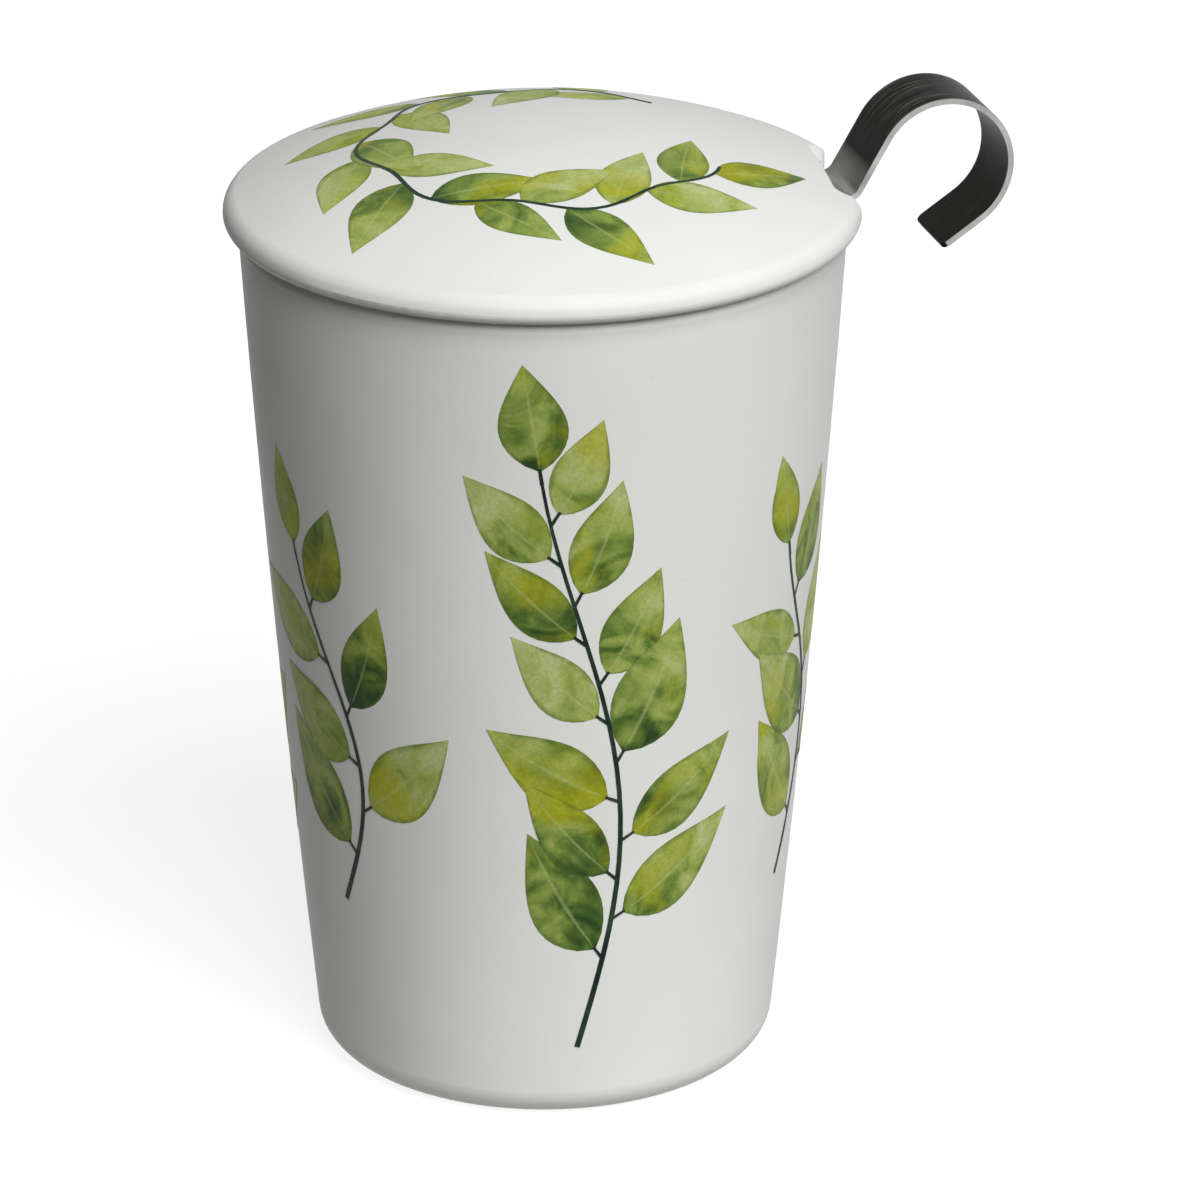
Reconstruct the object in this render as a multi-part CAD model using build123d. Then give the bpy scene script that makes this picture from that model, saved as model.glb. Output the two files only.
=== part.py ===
from build123d import *
import os
from math import asin, atan2, cos, degrees, hypot, radians, sin, sqrt, tan

os.makedirs("parts", exist_ok=True)

# Tea infuser mug: a double-walled porcelain mug, a steel infuser with a hooked strap, and a loose lid.
# Millimetres and degrees. The origin is the centre of the foot ring on the table, +Z is up,
# +X points at the hook.

# Mug: the outside
rim_height = 124.65
rim_radius = 42.92
base_radius = 32.7
wall_bow = 0.63
foot_rounding = 5.0
foot_ring_width = 4.2
foot_recess = 1.4
foot_edge_rounding = 0.6
rim_rounding = 1.3

# Mug: the two walls
outer_wall = 2.2
air_gap = 1.1
inner_wall = 2.15
shell_floor = 2.4
cup_floor = 2.4
rim_joint_depth = 4.0
shell_corner_rounding = 5.0
cup_corner_rounding = 8.0

# Vent hole of the hollow wall and its silicone plug
vent_radius = 2.5
plug_fit = 0.05
plug_head_lip = 1.7
plug_head = 0.9
plug_barb_lip = 0.8
plug_barb = 0.9

# Infuser: sheet-steel collar with a flange that rests on the rim
collar_sheet = 0.6
collar_clearance = 0.25
collar_depth = 15.0
flange_inset = 1.85
flange_bend = 1.3

# Infuser: perforated screen and base
screen_sheet = 0.5
screen_lap = 5.0
screen_depth = 79.05
screen_clearance = 1.8
screen_bend = 4.0
slot_width = 1.8
slot_length = 10.5
slot_columns = 24
slot_rows = 4
slot_margin = 3.5
base_turn_down = 4.0
base_bend = 1.2
base_hole = 4.0
base_hole_rings = 2
base_hole_margin = 5.5
weld_gap = 0.05

# Strap handle, bent from flat strip
strap_width = 12.1
strap_sheet = 0.8
strap_leg = 7.0
strap_overhang = 1.41
strap_bend = 2.0
strap_rise = 9.5
strap_lean = 30.0
hook_radius = 10.25
hook_tail = 6.8
hook_tail_dip = 34.0
strap_corner = 1.3

# Rivets through the strap's leg and the collar
rivet_radius = 1.0
rivet_fit = 0.04
rivet_head_lip = 0.9
rivet_head = 0.6
rivet_tail = 0.35
rivet_edge = 2.25
rivet_drop = 4.0

# Lid
lid_overhang = 2.08
lid_rise = 13.4
lid_upper_rounding = 2.8
lid_lower_rounding = 1.5
lid_wall = 4.2
lid_ring_clearance = 0.9
lid_ring_wall = 2.6
lid_ring_depth = 4.5
lid_ring_softening = 0.8
lid_hollow_rounding = 3.0
notch_clearance = 4.55
notch_side_clearance = 4.25
notch_flare = 14.0
notch_softness = 0.42
relief_clearance = 1.0
lid_turn = -5.5

# Heights that follow from the sizes above
shell_floor_top = foot_recess + shell_floor
cup_under = shell_floor_top + air_gap
cup_floor_top = cup_under + cup_floor
lip_under = rim_height - rim_joint_depth
flange_top = rim_height + collar_sheet
collar_under = flange_top - collar_depth
screen_under = flange_top - screen_depth
strap_foot = flange_top + weld_gap + strap_sheet / 2
lid_crown = flange_top + lid_rise
lid_ring_under = flange_top - lid_ring_depth

# The wall of the mug is one long shallow arc from the table to the rim
wall_chord = hypot(rim_radius - base_radius, rim_height)
wall_curve = (wall_chord**2 / 4 + wall_bow**2) / (2 * wall_bow)
wall_centre_x = (rim_radius + base_radius) / 2 - (wall_curve - wall_bow) * rim_height / wall_chord
wall_centre_z = rim_height / 2 + (wall_curve - wall_bow) * (rim_radius - base_radius) / wall_chord


def wall_radius(height, depth):
    """Radius of the mug's wall at a height, at a depth below the outside face."""
    return wall_centre_x + sqrt((wall_curve - depth) ** 2 - (height - wall_centre_z) ** 2)


# Radii that follow from the wall
cup_depth = outer_wall + air_gap
mouth_depth = cup_depth + inner_wall
mouth_radius = wall_radius(rim_height, mouth_depth)
seam_radius = mouth_radius + inner_wall
collar_outside = wall_radius(collar_under, mouth_depth) - collar_clearance - rivet_tail
collar_radius = collar_outside - collar_sheet
screen_top_radius = collar_radius - weld_gap - screen_sheet / 2
screen_foot_radius = wall_radius(screen_under, mouth_depth) - screen_clearance
strap_leg_face = sqrt(collar_radius**2 - (strap_width / 2) ** 2) - weld_gap - strap_sheet
strap_turn = rim_radius + strap_overhang
lid_radius = rim_radius + lid_overhang
lid_ring_radius = collar_radius - lid_ring_clearance
lid_ring_inside = lid_ring_radius - lid_ring_wall


def wall_line(low, high, depth):
    """The mug's wall curve between two heights."""
    heights = (low, (low + high) / 2, high)
    return ThreePointArc(*[(wall_radius(height, depth), height) for height in heights])


def softened(outline, corners):
    """Fill an outline and round the listed corners, each given as x, height and radius."""
    face = make_face(outline)
    for x, height, radius in corners:
        corner = face.vertices().sort_by_distance((x, height))[0]
        face = fillet(corner, radius)
    return face


def turned(face, arc=360):
    """Turn a half section about the mug's axis."""
    return revolve(Plane.XZ * face, Axis.Z, arc)


def make_outer_shell():
    """Outer porcelain wall with the foot ring and the outer half of the rim."""
    foot_ring_inside = base_radius - foot_rounding - foot_ring_width
    inside_rim = wall_radius(lip_under, outer_wall)
    inside_floor = wall_radius(shell_floor_top, outer_wall)
    outline = Curve() + [
        wall_line(0, rim_height, 0),
        Polyline(
            (rim_radius, rim_height),
            (seam_radius, rim_height),
            (seam_radius, lip_under),
            (inside_rim, lip_under),
        ),
        wall_line(shell_floor_top, lip_under, outer_wall),
        Polyline(
            (inside_floor, shell_floor_top),
            (0, shell_floor_top),
            (0, foot_recess),
            (foot_ring_inside, foot_recess),
            (foot_ring_inside, 0),
            (base_radius, 0),
        ),
    ]
    corners = [
        (base_radius, 0, foot_rounding),
        (rim_radius, rim_height, rim_rounding),
        (inside_floor, shell_floor_top, shell_corner_rounding),
        (foot_ring_inside, foot_recess, foot_edge_rounding),
        (foot_ring_inside, 0, foot_edge_rounding),
    ]
    vent = Cylinder(vent_radius, 2 * shell_floor_top)
    return turned(softened(outline, corners)) - vent


def make_inner_cup():
    """Inner porcelain cup that hangs in the shell and closes the rim."""
    outside_rim = wall_radius(lip_under, cup_depth)
    outside_floor = wall_radius(cup_under, cup_depth)
    inside_floor = wall_radius(cup_floor_top, mouth_depth)
    outline = Curve() + [
        wall_line(cup_floor_top, rim_height, mouth_depth),
        Polyline(
            (mouth_radius, rim_height),
            (seam_radius, rim_height),
            (seam_radius, lip_under),
            (outside_rim, lip_under),
        ),
        wall_line(cup_under, lip_under, cup_depth),
        Polyline(
            (outside_floor, cup_under),
            (0, cup_under),
            (0, cup_floor_top),
            (inside_floor, cup_floor_top),
        ),
    ]
    corners = [
        (mouth_radius, rim_height, rim_rounding),
        (outside_floor, cup_under, cup_corner_rounding + inner_wall),
        (inside_floor, cup_floor_top, cup_corner_rounding),
    ]
    return turned(softened(outline, corners))


def make_vent_plug():
    """Silicone plug: a flat head in the foot's recess, a neck in the hole and a barb above the floor."""
    neck_radius = vent_radius - plug_fit
    head_radius = vent_radius + plug_head_lip
    barb_radius = vent_radius + plug_barb_lip
    tip_radius = vent_radius - plug_barb_lip
    outline = Polyline(
        (0, foot_recess - plug_head),
        (head_radius, foot_recess - plug_head),
        (head_radius, foot_recess),
        (neck_radius, foot_recess),
        (neck_radius, shell_floor_top),
        (barb_radius, shell_floor_top),
        (tip_radius, shell_floor_top + plug_barb),
        (0, shell_floor_top + plug_barb),
        close=True,
    )
    return turned(make_face(outline))


def round_bar(radius, start, end):
    """Round bar along X, between two distances from the mug's axis."""
    on_end = (Align.CENTER, Align.CENTER, Align.MIN)
    return Pos(start, 0, 0) * Rot(0, 90, 0) * Cylinder(radius, end - start, align=on_end)


def rivet_places():
    """Centre line of each rivet, along X."""
    spread = strap_width / 2 - rivet_edge
    return [Pos(0, side * spread, flange_top - rivet_drop) for side in (-1, 1)]


def rivet_holes():
    """Drills for the rivets, from the mug's axis out to its rim."""
    drill = round_bar(rivet_radius + rivet_fit, 0, rim_radius)
    return [place * drill for place in rivet_places()]


def make_infuser_collar():
    """Collar of the infuser, pressed from sheet: a skirt in the mug's mouth and a flange on its rim."""
    skirt = collar_radius + collar_sheet / 2
    flange = rim_height + collar_sheet / 2
    line = FilletPolyline(
        (skirt, collar_under),
        (skirt, flange),
        (rim_radius - flange_inset, flange),
        radius=flange_bend,
    )
    return turned(trace(line, collar_sheet)) - rivet_holes()


def screen_radius(height):
    """Middle of the screen's sheet on its tapered stretch."""
    share = (height - screen_under) / (collar_under - screen_under)
    return screen_foot_radius + share * (screen_top_radius - screen_foot_radius)


def make_infuser_screen():
    """Tapered screen, lapped inside the collar, with staggered rows of upright slots."""
    line = FilletPolyline(
        (screen_top_radius, collar_under + screen_lap),
        (screen_top_radius, collar_under),
        (screen_foot_radius, screen_under),
        radius=screen_bend,
    )
    lowest = screen_under + base_turn_down + slot_margin + slot_length / 2
    highest = collar_under - slot_margin - slot_length / 2
    row_step = (highest - lowest) / (slot_rows - 1)
    column_step = 360 / slot_columns
    slots = []
    for row in range(slot_rows):
        height = lowest + row * row_step
        punch = Pos(screen_radius(height), height) * Rectangle(4 * screen_sheet, slot_length)
        slot = turned(punch, degrees(slot_width / screen_radius(height)))
        stagger = row % 2 / 2
        slots += [Rot(0, 0, (column + stagger) * column_step) * slot for column in range(slot_columns)]
    return turned(trace(line, screen_sheet)) - slots


def make_infuser_base():
    """Perforated base, set up inside the foot of the screen on a turned-down edge."""
    plate = screen_under + base_turn_down
    inset = screen_sheet + weld_gap
    line = FilletPolyline(
        (0, plate),
        (screen_radius(plate) - inset, plate),
        (screen_radius(screen_under) - inset, screen_under),
        radius=base_bend,
    )
    punch = Box(base_hole, base_hole, 4 * screen_sheet)
    pitch = (screen_foot_radius - base_hole_margin) / base_hole_rings
    holes = [Pos(0, 0, plate) * punch]
    for ring in range(1, base_hole_rings + 1):
        ring_holes = 6 * ring
        for step in range(ring_holes):
            holes.append(Rot(0, 0, step * 360 / ring_holes) * Pos(ring * pitch, 0, plate) * punch)
    return turned(trace(line, screen_sheet)) - holes


def strap_line():
    """Side view of the strap's middle: leg in the collar, foot over the flange, rise, hook and tail."""
    leg = strap_leg_face + strap_sheet / 2
    lean = radians(strap_lean)
    rise_top = Vector(strap_turn + strap_rise * sin(lean), strap_foot + strap_rise * cos(lean))
    middle = hook_radius - strap_sheet / 2
    centre = rise_top + Vector(middle * cos(lean), -middle * sin(lean))
    arc = CenterArc(centre, middle, 180 - strap_lean, strap_lean + hook_tail_dip - 270)
    tail_way = Vector(-cos(radians(hook_tail_dip)), -sin(radians(hook_tail_dip)))
    bends = FilletPolyline(
        (leg, flange_top - strap_leg),
        (leg, strap_foot),
        (strap_turn, strap_foot),
        rise_top,
        radius=strap_bend,
    )
    return Curve() + [bends, arc, Line(arc @ 1, arc @ 1 + tail_way * hook_tail)]


def make_handle_strap():
    """Strap of flat strip, bent to a hook, with rounded corners at its tail."""
    strip = Plane.XZ * trace(strap_line(), strap_sheet)
    strap = extrude(strip, amount=strap_width / 2, both=True)
    tip = Plane.XZ.from_local_coords(strap_line() @ 1)
    tail_end = strap.faces().sort_by_distance(tip)[0]
    tail_corners = [edge for edge in tail_end.edges() if edge.length < strap_width / 2]
    return strap.fillet(strap_corner, tail_corners) - rivet_holes()


def make_strap_rivets(collar, strap):
    """Two rivets, headed on the strap's leg and upset on the collar's skirt."""
    head_radius = rivet_radius + rivet_head_lip
    head = round_bar(head_radius, strap_leg_face - rivet_head, strap_leg_face)
    shank = round_bar(rivet_radius, strap_leg_face, collar_outside)
    tail = round_bar(head_radius, collar_outside - rivet_tail, collar_outside + rivet_tail)
    rivet = head + shank + tail
    return Compound(children=[place * rivet - collar - strap for place in rivet_places()])


def notch_cut():
    """Flared notch in the lid's edge for the strap; its corners are rounded by a share of its depth."""
    wall = strap_turn - notch_clearance
    half = strap_width / 2 + notch_side_clearance
    depth = sqrt(lid_radius**2 - half**2) - wall
    rounding = notch_softness * depth
    reach = 2 * (lid_radius - wall)
    flared_half = half + reach * tan(radians(notch_flare))
    cut = make_face(
        Polyline(
            (wall, half),
            (wall + reach, flared_half),
            (wall + reach, -flared_half),
            (wall, -half),
            close=True,
        )
    )
    cut = fillet(cut.vertices().sort_by(Axis.X)[:2], rounding)
    plan = Circle(lid_radius) - cut
    plan = fillet(plan.vertices().sort_by(Axis.X)[-2:], rounding)
    room = Pos(wall, 0) * Rectangle(2 * reach, 4 * flared_half, align=(Align.MIN, Align.CENTER))
    return Pos(0, 0, flange_top) * extrude(room - plan, amount=lid_rise)


def strap_relief():
    """Slot under the lid that clears the strap's foot and rivets, and parts the locating ring."""
    inside = lid_ring_inside - lid_ring_wall
    width = strap_width + 2 * (notch_side_clearance + relief_clearance)
    height = strap_foot + strap_sheet / 2 + relief_clearance - lid_ring_under
    slot = Box(lid_radius - inside, width, height, align=(Align.MIN, Align.CENTER, Align.MIN))
    return Pos(inside, 0, lid_ring_under) * slot


def make_lid():
    """Domed lid, turned a little on its seat: soft edge, locating ring, notch and relief for the strap."""
    widest = flange_top + lid_lower_rounding
    edge_x = lid_radius - lid_upper_rounding
    drop = lid_crown - widest
    dome = (edge_x**2 + drop**2 - lid_upper_rounding**2) / (2 * (drop - lid_upper_rounding))
    dome_centre = lid_crown - dome
    lean = degrees(atan2(edge_x, widest - dome_centre))
    hollow = dome - lid_wall
    hollow_lean = degrees(asin(lid_ring_inside / hollow))
    hollow_edge = dome_centre + sqrt(hollow**2 - lid_ring_inside**2)
    seat_edge = lid_radius - lid_lower_rounding
    outline = Curve() + [
        CenterArc((0, dome_centre), dome, 90 - lean, lean),
        CenterArc((edge_x, widest), lid_upper_rounding, 0, 90 - lean),
        CenterArc((seat_edge, widest), lid_lower_rounding, -90, 90),
        Polyline(
            (seat_edge, flange_top),
            (lid_ring_radius, flange_top),
            (lid_ring_radius, lid_ring_under),
            (lid_ring_inside, lid_ring_under),
            (lid_ring_inside, hollow_edge),
        ),
        CenterArc((0, dome_centre), hollow, 90 - hollow_lean, hollow_lean),
        Line((0, dome_centre + hollow), (0, lid_crown)),
    ]
    corners = [
        (lid_ring_radius, lid_ring_under, lid_ring_softening),
        (lid_ring_inside, lid_ring_under, lid_ring_softening),
        (lid_ring_inside, hollow_edge, lid_hollow_rounding),
    ]
    lid = turned(softened(outline, corners)) - notch_cut()
    return Rot(0, 0, lid_turn) * (lid - strap_relief())


collar = make_infuser_collar()
strap = make_handle_strap()
nodes = {
    "outer_shell": make_outer_shell(),
    "inner_cup": make_inner_cup(),
    "vent_plug": make_vent_plug(),
    "infuser_collar": collar,
    "infuser_screen": make_infuser_screen(),
    "infuser_base": make_infuser_base(),
    "handle_strap": strap,
    "strap_rivets": make_strap_rivets(collar, strap),
    "lid": make_lid(),
}
for name, piece in nodes.items():
    export_step(piece, f"parts/{name}.step")
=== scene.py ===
import bmesh
import bpy
import random
from math import atan2, cos, pi, radians, sin
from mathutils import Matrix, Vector


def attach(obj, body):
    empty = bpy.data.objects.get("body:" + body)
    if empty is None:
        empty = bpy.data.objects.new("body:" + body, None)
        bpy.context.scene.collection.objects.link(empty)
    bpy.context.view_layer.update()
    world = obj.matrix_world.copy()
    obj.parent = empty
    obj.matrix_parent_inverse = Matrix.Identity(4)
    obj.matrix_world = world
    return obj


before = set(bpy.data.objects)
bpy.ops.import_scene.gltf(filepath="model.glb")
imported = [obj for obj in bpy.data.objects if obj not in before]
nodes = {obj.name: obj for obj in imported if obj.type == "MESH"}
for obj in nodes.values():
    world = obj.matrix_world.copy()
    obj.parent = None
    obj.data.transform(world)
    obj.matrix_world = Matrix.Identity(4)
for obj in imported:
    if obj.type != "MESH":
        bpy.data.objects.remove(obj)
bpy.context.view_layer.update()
bpy.context.view_layer.update()


# The mug is two slip-cast porcelain cups joined at the rim, with air between the walls.
# A white satin glaze covers both, slightly uneven in colour and shine, with a few pin specks,
# and is wiped off the foot ring, where the bare biscuit shows.

GLAZE_WHITE = (0.83, 0.84, 0.815, 1)
GLAZE_SHADE = (0.79, 0.80, 0.77, 1)
CLOUD_SCALE = 24
CLOUD_SPAN = (0.35, 0.65)
GLAZE_SPECK = (0.62, 0.60, 0.53, 1)
SPECK_SCALE = 700
SPECK_SPAN = (0.79, 0.82)
SPECK_SHARE = (0.0, 0.35)
GLAZE_SPECULAR = 0.10
SATIN_SCALE = 38
SATIN_ROUGHNESS = (0.48, 0.58)
WAVE_SCALE = 60
WAVE_DEPTH = 0.00012
DIMPLE_SCALE = 900
DIMPLE_DEPTH = 0.000012
BISCUIT = (0.66, 0.62, 0.54, 1)
BISCUIT_GRAIN_SCALE = 1400
BISCUIT_GRAIN = (0.9, 1.0)
FOOT_RING_HEIGHT = 0.0006
NOISE_SPAN = (0.3, 0.7)


def start_material(name):
    """A new node material: its node tree and its surface shader."""
    material = bpy.data.materials.new(name)
    material.use_nodes = True
    return material, material.node_tree, material.node_tree.nodes["Principled BSDF"]


def add_node(tree, kind, inputs=None, **settings):
    """Add a node, set its options, and link or fill its inputs by name."""
    node = tree.nodes.new("ShaderNode" + kind)
    for option, value in settings.items():
        setattr(node, option, value)
    for name, value in (inputs or {}).items():
        socket = next(s for s in node.inputs if name in (s.identifier, s.name))
        if isinstance(value, bpy.types.NodeSocket):
            tree.links.new(value, socket)
        else:
            socket.default_value = value
    return node


def object_place(tree):
    """The point on the piece, in metres from the middle of the mug's foot."""
    return add_node(tree, "TexCoord").outputs["Object"]


def noise(tree, place, scale, detail=3.0, distortion=0.0):
    """Cloudy noise, with this many waves to the metre."""
    inputs = {"Vector": place, "Scale": scale, "Detail": detail, "Distortion": distortion}
    return add_node(tree, "TexNoise", inputs).outputs["Fac"]


def ramp(tree, value, span, result=(0.0, 1.0)):
    """Carry a value from its span to the result's, and hold it there."""
    inputs = {"Value": value, "From Min": span[0], "From Max": span[1]}
    inputs.update({"To Min": result[0], "To Max": result[1]})
    return add_node(tree, "MapRange", inputs).outputs["Result"]


def blend(tree, share, first, second, way="MIX"):
    """Mix two colours."""
    inputs = {"Factor_Float": share, "A_Color": first, "B_Color": second}
    mix = add_node(tree, "Mix", inputs, data_type="RGBA", blend_type=way)
    return next(socket for socket in mix.outputs if socket.identifier == "Result_Color")


def maths(tree, way, first, second=0.0):
    """One sum on one or two values."""
    return add_node(tree, "Math", {"Value": first, "Value_001": second}, operation=way).outputs[0]


def bump(tree, height, depth, normal=None):
    """Turn a height into a surface normal; the depth is in metres."""
    inputs = {"Height": height, "Distance": depth, "Strength": 1.0}
    if normal:
        inputs["Normal"] = normal
    return add_node(tree, "Bump", inputs).outputs["Normal"]


def glaze_finish(tree, shader, place):
    """The shine of the glaze, which the print shares: satin, with slow waves and fine dimples."""
    shader.inputs["Specular IOR Level"].default_value = GLAZE_SPECULAR
    satin = ramp(tree, noise(tree, place, SATIN_SCALE), NOISE_SPAN, SATIN_ROUGHNESS)
    tree.links.new(satin, shader.inputs["Roughness"])
    waves = bump(tree, noise(tree, place, WAVE_SCALE, detail=1), WAVE_DEPTH)
    dimples = bump(tree, noise(tree, place, DIMPLE_SCALE, detail=2), DIMPLE_DEPTH, waves)
    tree.links.new(dimples, shader.inputs["Normal"])


def porcelain_material():
    """White glaze over the whole body, bare biscuit on the foot ring."""
    material, tree, shader = start_material("porcelain_glaze")
    place = object_place(tree)
    clouds = ramp(tree, noise(tree, place, CLOUD_SCALE), CLOUD_SPAN)
    colour = blend(tree, clouds, GLAZE_SHADE, GLAZE_WHITE)
    specks = ramp(tree, noise(tree, place, SPECK_SCALE, detail=1), SPECK_SPAN, SPECK_SHARE)
    colour = blend(tree, specks, colour, GLAZE_SPECK)
    height = add_node(tree, "SeparateXYZ", {"Vector": place}).outputs["Z"]
    wiped = ramp(tree, height, (FOOT_RING_HEIGHT, FOOT_RING_HEIGHT / 2))
    grain = ramp(tree, noise(tree, place, BISCUIT_GRAIN_SCALE), NOISE_SPAN, BISCUIT_GRAIN)
    biscuit = blend(tree, 1.0, BISCUIT, grain, "MULTIPLY")
    tree.links.new(blend(tree, wiped, colour, biscuit), shader.inputs["Base Color"])
    glaze_finish(tree, shader, place)
    return material


def dress(material, *names):
    """Give CAD nodes their material."""
    for name in names:
        nodes[name].data.materials.clear()
        nodes[name].data.materials.append(material)


porcelain = porcelain_material()
dress(porcelain, "outer_shell", "inner_cup")


# The vent hole under the foot, left for the air to escape in the kiln, is shut by a silicone plug.
# It is moulded in milky silicone, matt, with dust and a faint grain.

SILICONE = (0.72, 0.72, 0.69, 1)
SILICONE_DUST = (0.55, 0.54, 0.50, 1)
DUST_SCALE = 700
DUST_SPAN = (0.45, 0.75)
SILICONE_ROUGHNESS = (0.5, 0.8)
MILKINESS = 0.2
MILKY_REACH = 0.002
MOULD_GRAIN_SCALE = 2500
MOULD_GRAIN_DEPTH = 0.00002


def silicone_material():
    """Milky moulded silicone."""
    material, tree, shader = start_material("vent_silicone")
    place = object_place(tree)
    dust = ramp(tree, noise(tree, place, DUST_SCALE), DUST_SPAN)
    tree.links.new(blend(tree, dust, SILICONE, SILICONE_DUST), shader.inputs["Base Color"])
    tree.links.new(ramp(tree, dust, (0, 1), SILICONE_ROUGHNESS), shader.inputs["Roughness"])
    shader.inputs["Subsurface Weight"].default_value = MILKINESS
    shader.inputs["Subsurface Radius"].default_value = (MILKY_REACH, MILKY_REACH, MILKY_REACH)
    grain = bump(tree, noise(tree, place, MOULD_GRAIN_SCALE), MOULD_GRAIN_DEPTH)
    tree.links.new(grain, shader.inputs["Normal"])
    return material


dress(silicone_material(), "vent_plug")


# The print on the mug is a ceramic transfer, fired into the glaze: upright sprigs of pointed leaves,
# painted in washes of green, round the whole wall. The film is about two hundredths of a millimetre
# thick, and where strokes cross, one lies on the other.

PRINT_UNDER = 0.000015
PRINT_FILM = 0.00002
PRINT_TIER = 0.000022
PRINT_CREASE = radians(40)
MERGE_DISTANCE = 1e-6
LEAF_TIERS = 3

LEAF_DARK = (0.020, 0.055, 0.014, 1)
LEAF_DEEP = (0.085, 0.150, 0.026, 1)
LEAF_GREEN = (0.225, 0.315, 0.062, 1)
LEAF_LIGHT = (0.370, 0.445, 0.112, 1)
LEAF_PALE = (0.490, 0.560, 0.230, 1)
LEAF_YELLOW = (0.420, 0.430, 0.012, 1)
LEAF_WASHES = ((0.20, LEAF_DEEP), (0.42, LEAF_GREEN), (0.66, LEAF_LIGHT))
WASH_ALONG = 0.50
WASH_TONE = 0.55
BLOT_SCALE = 130
BLOT_STRENGTH = (-0.30, 0.38)
SUN_SCALE = 75
SUN_SPAN = (0.5, 0.68)
SUN_SHARE = (0.0, 0.75)
EDGE_WANDER_SCALE = 420
EDGE_WANDER = (-0.05, 0.05)
EDGE_SPAN = (0.40, 0.49)
EDGE_SHARE = (0.0, 0.55)
RIB_SPAN = (0.012, 0.035)
RIB_SHARE = (0.35, 0.0)
WASH_GRAIN_SCALE = 1900
WASH_GRAIN = (0.84, 1.06)

STEM_DARK = (0.006, 0.018, 0.014, 1)
STEM_GREEN = (0.030, 0.062, 0.030, 1)
INK_SCALE = 260
INK_SPAN = (0.4, 0.7)

LEAF_ROWS = 14
LEAF_COLUMNS = 6
LEAF_BELLY = 0.78
LEAF_TAPER = 0.15
LOOK_AHEAD = 0.01
WALL_UNROLLED = 0.038
CLEAR_OF_WALL = 0.06

SPRIGS = 6
SPRIG_TURN = radians(-98)
SPRIG_SWAY = 0.006
SPRIG_WAVE = 4.2
TALL_SPRIG = (0.012, 0.089, 13)
SHORT_SPRIG = (0.030, 0.052, 7)
STEM_ROWS = 24
STEM_WIDTHS = (0.0009, 0.0004)
TWIG_ROWS = 3
TWIG_WIDTHS = (0.0005, 0.0004)
TWIG_LENGTH = 0.0024
LEAF_ON_TWIG = 0.8
FIRST_LEAF = 0.16
LOWEST_LEAF_LENGTH = 0.0232
LEAF_SHORTENING = 0.0078
LEAF_LENGTH_VARIES = 0.0018
LEAF_WIDTH_SHARE = (0.48, 0.58)
LEAF_SPREAD = radians(60)
LEAF_CLOSING = radians(22)
LEAF_STRAY = 0.2
LEAF_BEND = -0.14
PRINT_SEED = 7

chance = random.Random(PRINT_SEED)


def leaf_wash_material():
    """Wet washes of green that pool at the leaf's edge and leave the rib a little lighter."""
    material, tree, shader = start_material("leaf_wash")
    place = object_place(tree)
    leaf_map = add_node(tree, "UVMap", uv_map="leaf").outputs["UV"]
    on_leaf = add_node(tree, "SeparateXYZ", {"Vector": leaf_map}).outputs
    across, along = on_leaf["X"], on_leaf["Y"]
    tone = add_node(tree, "Attribute", attribute_name="tone").outputs["Fac"]
    lighter_ahead = maths(tree, "MULTIPLY", along, WASH_ALONG)
    own_tone = maths(tree, "MULTIPLY", tone, WASH_TONE)
    pigment = noise(tree, place, BLOT_SCALE, detail=4, distortion=1.4)
    blots = ramp(tree, pigment, NOISE_SPAN, BLOT_STRENGTH)
    wash = maths(tree, "ADD", maths(tree, "ADD", lighter_ahead, own_tone), blots)
    greens = add_node(tree, "ValToRGB", {"Fac": wash})
    stops = greens.color_ramp.elements
    stops[0].color = LEAF_DARK
    stops[1].color = LEAF_PALE
    for share, green in LEAF_WASHES:
        stops.new(share).color = green
    yellow = noise(tree, place, SUN_SCALE, detail=2, distortion=0.8)
    sunny = ramp(tree, yellow, SUN_SPAN, SUN_SHARE)
    colour = blend(tree, sunny, greens.outputs["Color"], LEAF_YELLOW)
    from_rib = maths(tree, "ABSOLUTE", maths(tree, "SUBTRACT", across, 0.5))
    wander = ramp(tree, noise(tree, place, EDGE_WANDER_SCALE, detail=2), NOISE_SPAN, EDGE_WANDER)
    pooled = ramp(tree, maths(tree, "ADD", from_rib, wander), EDGE_SPAN, EDGE_SHARE)
    colour = blend(tree, pooled, colour, LEAF_DEEP)
    colour = blend(tree, ramp(tree, from_rib, RIB_SPAN, RIB_SHARE), colour, LEAF_PALE)
    grain = ramp(tree, noise(tree, place, WASH_GRAIN_SCALE), NOISE_SPAN, WASH_GRAIN)
    tree.links.new(blend(tree, 1.0, colour, grain, "MULTIPLY"), shader.inputs["Base Color"])
    glaze_finish(tree, shader, place)
    return material


def stem_ink_material():
    """Dark green line drawn with a loaded brush."""
    material, tree, shader = start_material("stem_ink")
    place = object_place(tree)
    thin = ramp(tree, noise(tree, place, INK_SCALE, detail=4), INK_SPAN)
    tree.links.new(blend(tree, thin, STEM_DARK, STEM_GREEN), shader.inputs["Base Color"])
    glaze_finish(tree, shader, place)
    return material


def start_print():
    """An empty mesh with the print's own map and tone."""
    print_mesh = bmesh.new()
    print_mesh.loops.layers.uv.new("leaf")
    print_mesh.verts.layers.float.new("tone")
    return print_mesh


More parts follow.
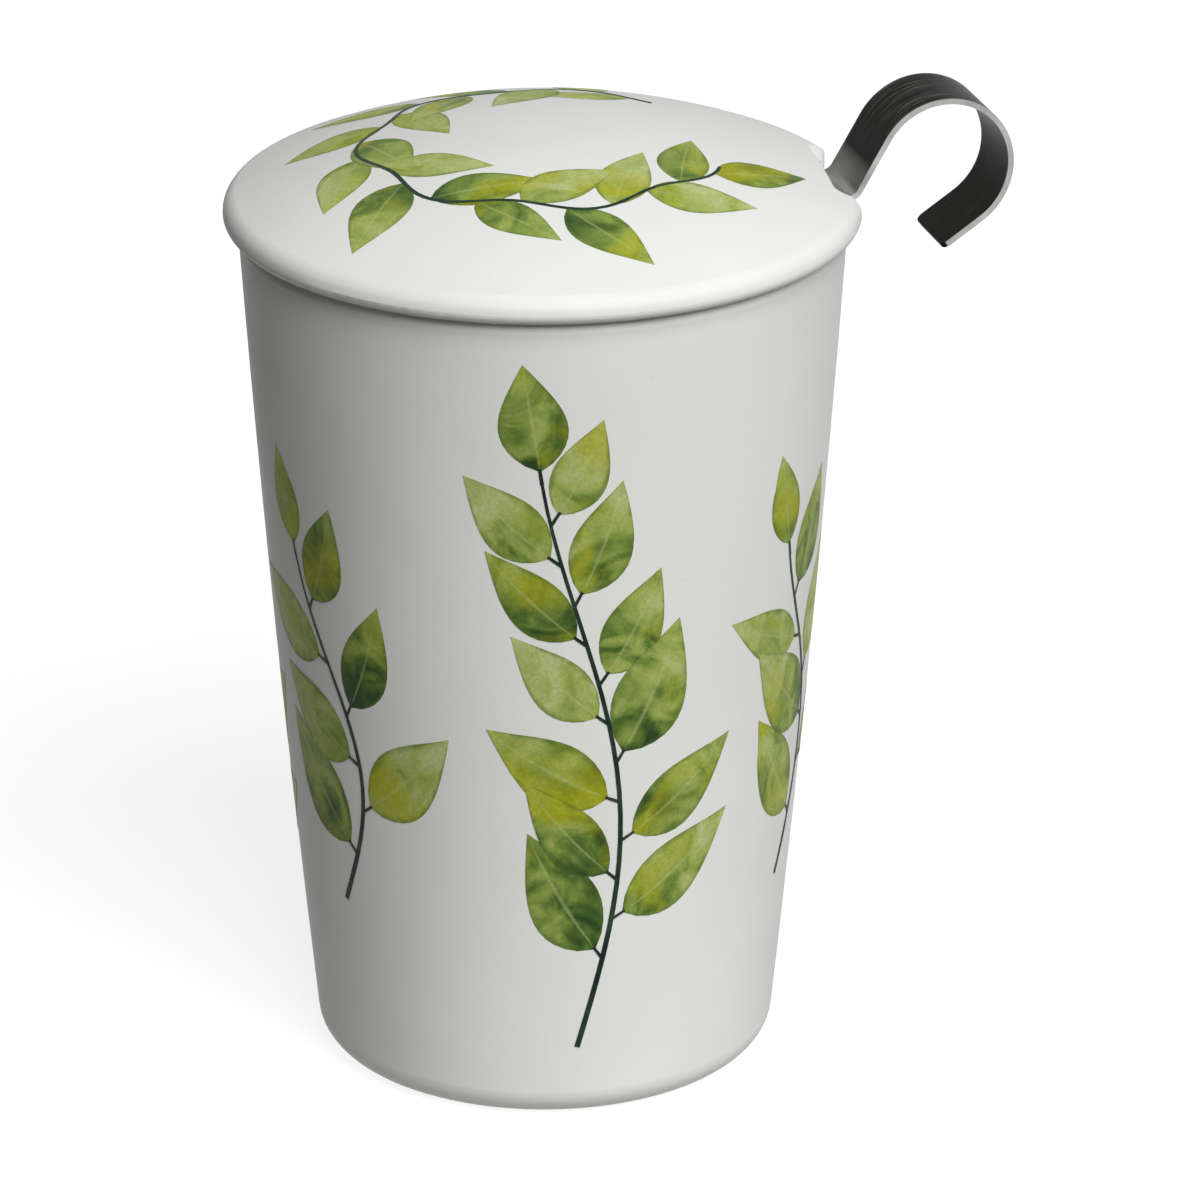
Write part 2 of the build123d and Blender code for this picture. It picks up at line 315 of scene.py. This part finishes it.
def brush(print_mesh, rows, columns, shape, lay, tier, tone=0.0):
    """One stroke: a grid whose points are shaped on the flat and then laid on the glaze, tier on tier."""
    lift = PRINT_UNDER + PRINT_FILM + tier * PRINT_TIER
    stroke = bmesh.ops.create_grid(print_mesh, x_segments=columns, y_segments=rows, size=0.5)["verts"]
    leaf_map = print_mesh.loops.layers.uv["leaf"]
    tones = print_mesh.verts.layers.float["tone"]
    for point in stroke:
        for loop in point.link_loops:
            loop[leaf_map].uv = (point.co.x + 0.5, point.co.y + 0.5)
    for point in stroke:
        point[tones] = tone
        point.co = lay(*shape(point.co.x, point.co.y + 0.5), lift)
    bmesh.ops.remove_doubles(print_mesh, verts=stroke, dist=MERGE_DISTANCE)


def heading_on(route, share):
    """The way that a route on the flat runs at a share of its length."""
    here, ahead = route(share), route(share + LOOK_AHEAD)
    return atan2(ahead[0] - here[0], ahead[1] - here[1])


def leaf_shape(root, heading, length, width, bend):
    """Pointed oval that grows from its root and bends to one side."""

    def shape(across, along):
        breadth = width * sin(pi * along**LEAF_BELLY) * (1 - LEAF_TAPER * along)
        ahead = length * along
        aside = across * breadth + bend * length * along**2
        return (
            root[0] + ahead * sin(heading) + aside * cos(heading),
            root[1] + ahead * cos(heading) - aside * sin(heading),
        )

    return shape


def line_shape(route, thick, thin):
    """Tapered line that follows a route on the flat."""

    def shape(across, along):
        here, heading = route(along), heading_on(route, along)
        aside = across * (thick + (thin - thick) * along)
        return here[0] + aside * cos(heading), here[1] - aside * sin(heading)

    return shape


def finish_print(print_mesh, name, material, body):
    """Give the film its thickness, and fire it on."""
    bmesh.ops.recalc_face_normals(print_mesh, faces=print_mesh.faces)
    bmesh.ops.solidify(print_mesh, geom=print_mesh.faces[:], thickness=PRINT_FILM)
    for edge in print_mesh.edges:
        edge.smooth = edge.calc_face_angle(0) < PRINT_CREASE
    for face in print_mesh.faces:
        face.smooth = True
    mesh = bpy.data.meshes.new(name)
    print_mesh.to_mesh(mesh)
    print_mesh.free()
    mesh.materials.append(material)
    film = bpy.data.objects.new(name, mesh)
    bpy.context.scene.collection.objects.link(film)
    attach(film, body)


def on_wall(turn):
    """Lay points on the mug's wall: aside is round the wall from a turn, up is the height."""

    def lay(aside, up, lift):
        angle = turn + aside / WALL_UNROLLED
        outwards = Vector((cos(angle), sin(angle), 0))
        start = outwards * CLEAR_OF_WALL + Vector((0, 0, up))
        hit = nodes["outer_shell"].ray_cast(start, -outwards)[1]
        return hit + outwards * lift

    return lay


def paint_sprig(leaves, stems, lay, foot, height, count, sway):
    """An upright sprig: a swaying stem with leaves to both sides and one at the top."""

    def stem(share):
        return sway * sin(SPRIG_WAVE * share), foot + height * share

    brush(stems, STEM_ROWS, 1, line_shape(stem, *STEM_WIDTHS), lay, LEAF_TIERS)
    for step in range(count):
        share = FIRST_LEAF + (1 - FIRST_LEAF) * step / (count - 1)
        side = (1 if step % 2 else -1) if step < count - 1 else 0
        length = LOWEST_LEAF_LENGTH - LEAF_SHORTENING * share
        length += chance.uniform(-LEAF_LENGTH_VARIES, LEAF_LENGTH_VARIES)
        spread = LEAF_SPREAD - LEAF_CLOSING * share + chance.uniform(-LEAF_STRAY, LEAF_STRAY)
        heading = heading_on(stem, share) + side * spread
        root = Vector(stem(share))
        tip = root + TWIG_LENGTH * Vector((sin(heading), cos(heading)))

        def twig(part):
            return tuple(root.lerp(tip, part))

        brush(stems, TWIG_ROWS, 1, line_shape(twig, *TWIG_WIDTHS), lay, LEAF_TIERS + 1)
        width = length * chance.uniform(*LEAF_WIDTH_SHARE)
        shape = leaf_shape(twig(LEAF_ON_TWIG), heading, length, width, LEAF_BEND * side)
        brush(leaves, LEAF_ROWS, LEAF_COLUMNS, shape, lay, step % LEAF_TIERS, chance.random())


leaf_wash = leaf_wash_material()
stem_ink = stem_ink_material()
mug_leaves = start_print()
mug_stems = start_print()
for sprig in range(SPRIGS):
    foot, height, count = SHORT_SPRIG if sprig % 2 else TALL_SPRIG
    lay = on_wall(SPRIG_TURN + sprig * 2 * pi / SPRIGS)
    sway = SPRIG_SWAY if sprig % 4 < 2 else -SPRIG_SWAY
    paint_sprig(mug_leaves, mug_stems, lay, foot, height, count, sway)
finish_print(mug_leaves, "mug_leaf_print", leaf_wash, "mug")
finish_print(mug_stems, "mug_stem_print", stem_ink, "mug")


# The infuser is pressed and rolled from thin stainless sheet: a collar whose flange hangs on the rim,
# a perforated screen and a perforated base, spot-welded together.
# The sheet keeps its brushing round the axis, and tea has stained it a little.

STEEL = (0.53, 0.52, 0.50, 1)
STEEL_SHADE = (0.35, 0.345, 0.33, 1)
BRUSHING_SCALE = 2600
BRUSHING_SHARE = 0.6
BRUSHING_DEPTH = 0.000012
STEEL_ROUGHNESS = (0.24, 0.4)
TEA_STAIN = (0.42, 0.38, 0.30, 1)
STAIN_SCALE = 90
STAIN_SPAN = (0.35, 0.7)
STAIN_SHARE = 0.25


def infuser_steel_material():
    """Stainless sheet, brushed round the mug's axis, with faint tea stains."""
    material, tree, shader = start_material("infuser_steel")
    place = object_place(tree)
    parts = add_node(tree, "SeparateXYZ", {"Vector": place}).outputs
    x_squared = maths(tree, "POWER", parts["X"], 2.0)
    y_squared = maths(tree, "POWER", parts["Y"], 2.0)
    radius = maths(tree, "SQRT", maths(tree, "ADD", x_squared, y_squared))
    rings = add_node(tree, "CombineXYZ", {"X": radius, "Z": parts["Z"]}).outputs[0]
    brushed = noise(tree, rings, BRUSHING_SCALE, detail=4)
    colour = blend(tree, maths(tree, "MULTIPLY", brushed, BRUSHING_SHARE), STEEL, STEEL_SHADE)
    stains = ramp(tree, noise(tree, place, STAIN_SCALE, detail=4), STAIN_SPAN)
    colour = blend(tree, maths(tree, "MULTIPLY", stains, STAIN_SHARE), colour, TEA_STAIN)
    tree.links.new(colour, shader.inputs["Base Color"])
    shader.inputs["Metallic"].default_value = 1
    tree.links.new(ramp(tree, brushed, NOISE_SPAN, STEEL_ROUGHNESS), shader.inputs["Roughness"])
    tree.links.new(bump(tree, brushed, BRUSHING_DEPTH), shader.inputs["Normal"])
    return material


dress(infuser_steel_material(), "infuser_collar", "infuser_screen", "infuser_base", "strap_rivets")


# The strap is cut from steel strip and bent over a former to a hook, then riveted inside the collar.
# Its faces are painted near-black, a painted dark reflection, with fine lengthwise rubs; on the crown of
# the hook the rubs are painted lighter as a painted reflection, the foot by the lid is painted paler as a
# painted reflection of the white lid, and the sheared edges are painted bright as a painted highlight.

# The near-black of the strap's faces is a painted dark reflection.
STRAP_DARK_REFLECTION = (0.007, 0.007, 0.006, 1)
# The rub colour is real rubbing, and on the crown of the hook a painted reflection.
STRAP_RUBS_AND_REFLECTION = (0.105, 0.105, 0.100, 1)
# The paler foot of the strap by the lid is a painted reflection of the white lid.
STRAP_LID_REFLECTION = (0.260, 0.265, 0.235, 1)
# The bright sheared edges are a painted highlight, dimmed in patches.
EDGE_HIGHLIGHT = (0.50, 0.50, 0.485, 1)
EDGE_HIGHLIGHT_DIM = (0.22, 0.22, 0.21, 1)
STRAP_GRAZING = 0.62
STRAP_ROUGHNESS = (0.34, 0.5)
RUB_STRETCH = (0.07, 1.0, 0.07)
RUB_SCALE = 2200
RUB_SPAN = (0.46, 0.78)
RUB_DEPTH = 0.000005
PATCH_SCALE = 130
PATCH_SPAN = (0.4, 0.65)
PATCH_WEAR = (0.02, 0.14)
CROWN_REFLECTION_HEIGHTS = (0.1345, 0.1380)
LID_REFLECTION_HEIGHTS = (0.1266, 0.1304)
RISE_ENDS = (0.0500, 0.0510)
STRAP_HALF_WIDTH = 0.00605
EDGE_HIGHLIGHT_WIDTH = 0.0001
EDGE_HIGHLIGHT_SCALE = 120
EDGE_HIGHLIGHT_SPAN = (0.35, 0.65)


def strap_steel_material():
    """Steel strip painted near-black as a painted dark reflection, with lengthwise rubs, painted
    reflections on the crown and by the lid, and a painted highlight on the sheared edges.
    """
    material, tree, shader = start_material("strap_steel")
    place = object_place(tree)
    parts = add_node(tree, "SeparateXYZ", {"Vector": place}).outputs
    stretch = {"Vector": place, "Vector_001": RUB_STRETCH}
    lines = add_node(tree, "VectorMath", stretch, operation="MULTIPLY").outputs["Vector"]
    rubs = ramp(tree, noise(tree, lines, RUB_SCALE, detail=4), RUB_SPAN)
    patches = ramp(tree, noise(tree, place, PATCH_SCALE), PATCH_SPAN, PATCH_WEAR)
    # On the crown of the hook the rubs are painted lighter by height: a painted reflection on top of real
    # rubs.
    crown = ramp(tree, parts["Z"], CROWN_REFLECTION_HEIGHTS)
    rubs_and_crown_reflection = maths(tree, "MULTIPLY", rubs, maths(tree, "ADD", patches, crown))
    # The faces are painted near-black, a painted dark reflection; the rubs lighten them.
    colour = blend(tree, rubs_and_crown_reflection, STRAP_DARK_REFLECTION, STRAP_RUBS_AND_REFLECTION)
    # The foot of the strap by the lid is painted paler: a painted reflection of the white lid.
    lid_reflection = ramp(tree, parts["Z"], LID_REFLECTION_HEIGHTS, (1.0, 0.0))
    rise = ramp(tree, parts["X"], RISE_ENDS, (1.0, 0.0))
    colour = blend(tree, maths(tree, "MULTIPLY", lid_reflection, rise), colour, STRAP_LID_REFLECTION)
    from_middle = maths(tree, "ABSOLUTE", parts["Y"])
    # The sheared edges are painted bright: a painted highlight, dimmed in patches by noise.
    edge_span = (STRAP_HALF_WIDTH - 2 * EDGE_HIGHLIGHT_WIDTH, STRAP_HALF_WIDTH - EDGE_HIGHLIGHT_WIDTH)
    dull = ramp(tree, noise(tree, place, EDGE_HIGHLIGHT_SCALE, detail=4), EDGE_HIGHLIGHT_SPAN)
    sheared = blend(tree, dull, EDGE_HIGHLIGHT, EDGE_HIGHLIGHT_DIM)
    colour = blend(tree, ramp(tree, from_middle, edge_span), colour, sheared)
    tree.links.new(colour, shader.inputs["Base Color"])
    shader.inputs["Metallic"].default_value = 1
    shader.inputs["Specular Tint"].default_value = (STRAP_GRAZING, STRAP_GRAZING, STRAP_GRAZING, 1)
    tree.links.new(ramp(tree, rubs_and_crown_reflection, (0, 1), STRAP_ROUGHNESS), shader.inputs["Roughness"])
    tree.links.new(bump(tree, rubs, RUB_DEPTH), shader.inputs["Normal"])
    return material


dress(strap_steel_material(), "handle_strap")


# The lid is cast in the same porcelain, with a locating ring below and a notch for the strap.
# Its top carries a wreath of the same leaves, a second transfer that is left open at the strap.

WREATH_RADIUS = 0.0250
WREATH_WAVE = 0.0012
WREATH_WAVES = 7
WREATH_GAP = radians(34)
WREATH_ROWS = 90
WREATH_WIDTHS = (0.0007, 0.0005)
WREATH_LEAVES = 20
WREATH_FIRST = 0.6
WREATH_LEAF_LENGTH = (0.0140, 0.0168)
WREATH_LEAF_WIDTH_SHARE = (0.46, 0.56)
WREATH_SPREAD = radians(48)
WREATH_STRAY = 0.15
WREATH_BEND = -0.08
ABOVE_LID = 0.2


def on_lid(aside, up, lift):
    """Lay points on the top of the lid: the flat is seen from above, with the hook towards aside."""
    above = Vector((aside, up, ABOVE_LID))
    hit = nodes["lid"].ray_cast(above, Vector((0, 0, -1)))[1]
    return hit + Vector((0, 0, lift))


def wreath(share):
    """The wreath's stem: a slow wave on a circle that leaves the strap free."""
    angle = WREATH_GAP + (2 * pi - 2 * WREATH_GAP) * share
    reach = WREATH_RADIUS + WREATH_WAVE * sin(WREATH_WAVES * angle)
    return reach * cos(angle), reach * sin(angle)


dress(porcelain, "lid")
lid_leaves = start_print()
lid_stems = start_print()
brush(lid_stems, WREATH_ROWS, 1, line_shape(wreath, *WREATH_WIDTHS), on_lid, LEAF_TIERS)
for step in range(WREATH_LEAVES):
    share = (step + WREATH_FIRST) / WREATH_LEAVES
    side = 1 if step % 2 else -1
    stray = chance.uniform(-WREATH_STRAY, WREATH_STRAY)
    heading = heading_on(wreath, share) + side * WREATH_SPREAD + stray
    length = chance.uniform(*WREATH_LEAF_LENGTH)
    width = length * chance.uniform(*WREATH_LEAF_WIDTH_SHARE)
    shape = leaf_shape(wreath(share), heading, length, width, WREATH_BEND * side)
    brush(lid_leaves, LEAF_ROWS, LEAF_COLUMNS, shape, on_lid, step % LEAF_TIERS, chance.random())
finish_print(lid_leaves, "lid_leaf_print", leaf_wash, "lid")
finish_print(lid_stems, "lid_stem_print", stem_ink, "lid")


# The set: a plain white floor that runs out of the picture and keeps a soft shadow, and a white surround.
# For the light on the mug the floor glows, though it is no lamp: a painted pool of light round the mug
# sends light back up.

FLOOR_HALF = 3.0
FLOOR_GLOW = 0.84
FLOOR_SHADOW = (0.30, 0.30, 0.30, 1)
FLOOR_LIGHT = (1.0, 1.0, 0.955, 1)
POOL_SPAN = (0.08, 0.32)
POOL_SEND = (0.34, 0.0)
BACK_WAY = (0.27, 0.963, 0)
BACK_SPAN = (0.03, 0.12)
BACK_REACH = (0.2, 0.7)
BACK_SEND = (0.75, 0.0)
WHITE = (1, 1, 1, 1)
AMBIENT = 0.010


def seen_directly(tree):
    """1 for what the camera sees, straight or in metal and glass; 0 for light on the object."""
    path = add_node(tree, "LightPath").outputs
    seen = maths(tree, "MAXIMUM", path["Is Camera Ray"], path["Is Glossy Ray"])
    return maths(tree, "MAXIMUM", seen, path["Is Transmission Ray"])


def floor_material():
    """White where it is seen; for the light on the mug it glows, a painted pool of light round the mug,
    most from behind.
    """
    material, tree, shader = start_material("white_floor")
    tree.nodes.remove(shader)
    glow = add_node(tree, "Emission", {"Color": WHITE, "Strength": FLOOR_GLOW}).outputs[0]
    shaded = add_node(tree, "BsdfDiffuse", {"Color": FLOOR_SHADOW}).outputs[0]
    white = add_node(tree, "AddShader", {"Shader": glow, "Shader_001": shaded}).outputs[0]
    place = object_place(tree)
    distance = add_node(tree, "VectorMath", {"Vector": place}, operation="LENGTH").outputs["Value"]
    # The glow is painted light: emission in a pool round the mug and behind it, not light bounced from
    # the lamp.
    pool = ramp(tree, distance, POOL_SPAN, POOL_SEND)
    ways = {"Vector": place, "Vector_001": BACK_WAY}
    behind = add_node(tree, "VectorMath", ways, operation="DOT_PRODUCT").outputs["Value"]
    near_back = ramp(tree, distance, BACK_REACH, BACK_SEND)
    back = maths(tree, "MULTIPLY", ramp(tree, behind, BACK_SPAN), near_back)
    sent = {"Color": FLOOR_LIGHT, "Strength": maths(tree, "ADD", pool, back)}
    light = add_node(tree, "Emission", sent).outputs[0]
    sides = {"Fac": seen_directly(tree), "Shader": light, "Shader_001": white}
    surface = add_node(tree, "MixShader", sides).outputs[0]
    tree.links.new(surface, tree.nodes["Material Output"].inputs["Surface"])
    material.cycles.emission_sampling = "NONE"
    return material


floor_mesh = bmesh.new()
bmesh.ops.create_grid(floor_mesh, x_segments=1, y_segments=1, size=FLOOR_HALF)
floor_data = bpy.data.meshes.new("floor")
floor_mesh.to_mesh(floor_data)
floor_mesh.free()
floor_data.materials.append(floor_material())
floor = bpy.data.objects.new("floor", floor_data)
bpy.context.scene.collection.objects.link(floor)

world = bpy.data.worlds.new("white_surround")
world.use_nodes = True
bpy.context.scene.world = world
surround = world.node_tree
background = surround.nodes["Background"]
background.inputs["Color"].default_value = WHITE
strength = ramp(surround, seen_directly(surround), (0, 1), (AMBIENT, 1.0))
surround.links.new(strength, background.inputs["Strength"])


# The camera stands a little left of the front and looks down on the mug through a long lens.
# The one lamp is a large soft box, far off and up to the right of the camera.

CAMERA_AZIMUTH = radians(-15.65)
CAMERA_ELEVATION = radians(22.455)
CAMERA_DISTANCE = 1.1
CAMERA_LENS = 229.6
AIM = Vector((0, 0, 0.065))
AIM_RIGHT = 0.00806
AIM_UP = 0.00177
LAMP_AZIMUTH = CAMERA_AZIMUTH + radians(27)
LAMP_ELEVATION = radians(45)
LAMP_DISTANCE = 4.0
LAMP_SIZE = 2.9
LAMP_POWER = 208.0


def way_to(azimuth, elevation):
    """Direction from the mug to a place seen at this azimuth from the front, and this elevation."""
    return Vector((sin(azimuth) * cos(elevation), -cos(azimuth) * cos(elevation), sin(elevation)))


def place_and_turn(thing, place, target):
    """Put the lamp or the camera in its place, and point it at a target."""
    thing.location = place
    thing.rotation_euler = (target - place).to_track_quat("-Z", "Y").to_euler()
    bpy.context.scene.collection.objects.link(thing)


lamp_data = bpy.data.lights.new("key_lamp", "AREA")
lamp_data.size = LAMP_SIZE
lamp_data.energy = LAMP_POWER
lamp = bpy.data.objects.new("key_lamp", lamp_data)
place_and_turn(lamp, AIM + LAMP_DISTANCE * way_to(LAMP_AZIMUTH, LAMP_ELEVATION), AIM)

camera_data = bpy.data.cameras.new("camera")
camera_data.lens = CAMERA_LENS
camera = bpy.data.objects.new("camera", camera_data)
to_camera = way_to(CAMERA_AZIMUTH, CAMERA_ELEVATION)
camera_right = Vector((cos(CAMERA_AZIMUTH), sin(CAMERA_AZIMUTH), 0))
camera_up = to_camera.cross(camera_right)
camera_target = AIM + AIM_RIGHT * camera_right + AIM_UP * camera_up
place_and_turn(camera, AIM + CAMERA_DISTANCE * to_camera, camera_target)
bpy.context.scene.camera = camera
bpy.context.scene.view_settings.view_transform = "Standard"
